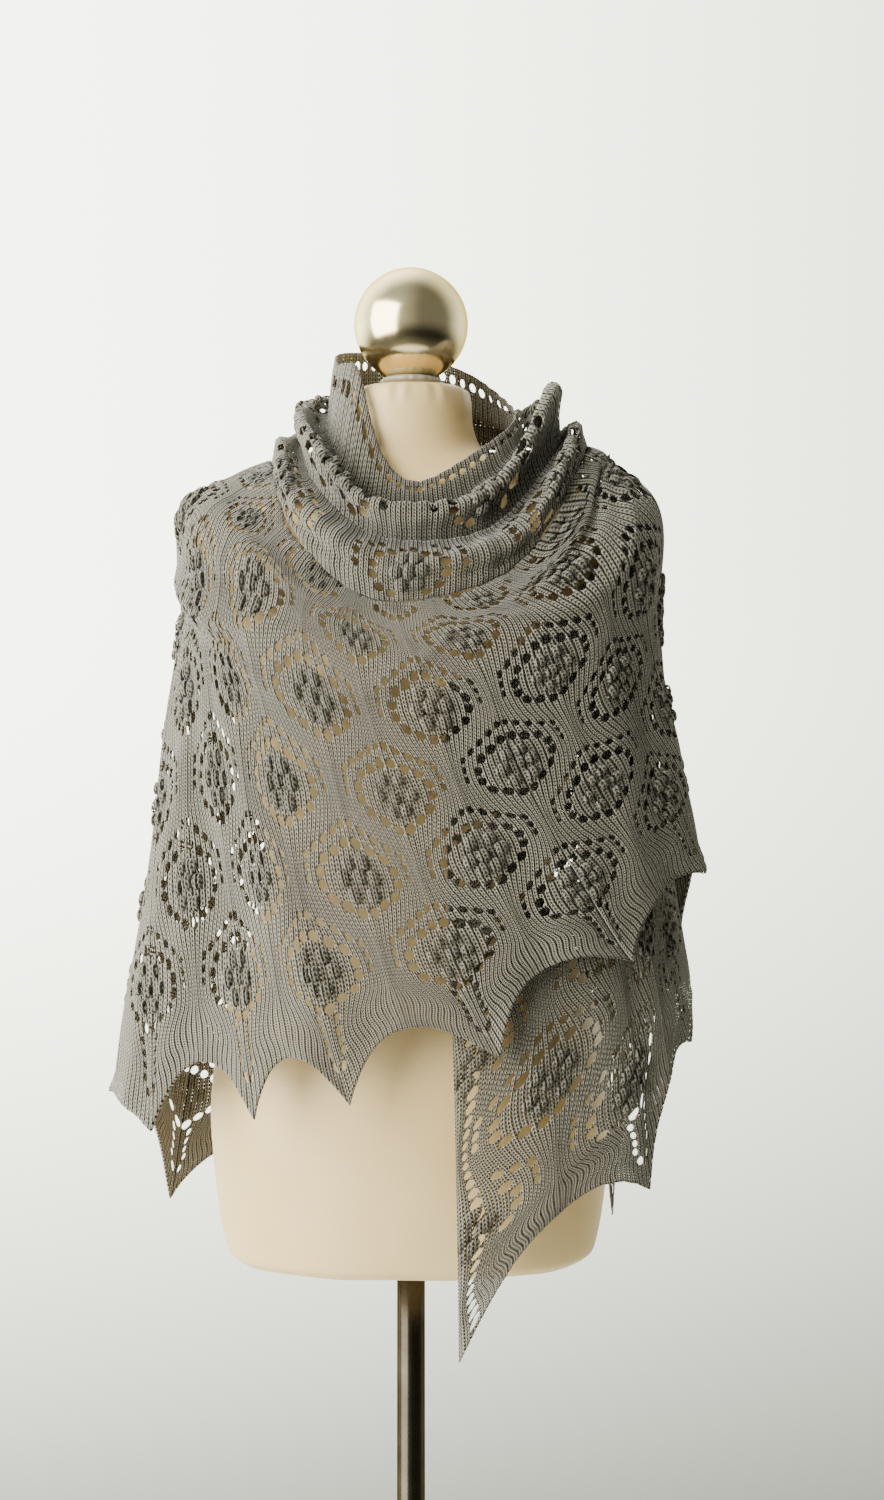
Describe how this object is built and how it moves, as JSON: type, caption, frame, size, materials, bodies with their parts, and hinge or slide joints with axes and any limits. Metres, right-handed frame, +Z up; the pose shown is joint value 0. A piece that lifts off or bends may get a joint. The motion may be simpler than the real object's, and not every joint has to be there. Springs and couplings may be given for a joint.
{
  "type": "triangle shawl on dress form",
  "caption": "Knitted lace triangle shawl with a scalloped hem, wound round a limbless dress form as a cowl and cape; the form stands on a pole with a round base.",
  "frame": {"origin": "middle of the underside of the stand's base, on the floor", "axes": "+Z up along the pole; -Y is the front of the form; +X is the viewer's right when the front is looked at"},
  "size_m": [0.5306, 0.3426, 1.624],
  "materials": {
    "yarn": "matt wool lace",
    "form_cloth": "cream satin",
    "brass": "polished, pale gold",
    "dark_metal": "dark chrome"
  },
  "bodies": {
    "root": {"cowl_collar": "yarn", "cowl_upper_roll": "yarn", "cowl_lower_roll": "yarn", "shawl_under_wing": "yarn", "shawl_under_wing_top": "yarn", "shawl_inner_side": "yarn", "shawl_inner_side_top": "yarn", "shawl_back_panel": "yarn", "shawl_left_side": "yarn", "shawl_front_left": "yarn", "shawl_front_right": "yarn", "shawl_right_side": "yarn", "shawl_back_tail": "yarn", "form_body": "form_cloth", "form_neck_cap": "form_cloth", "form_ball": "brass", "stand_pole": "dark_metal", "stand_base": "dark_metal"}
  },
  "joints": []
}
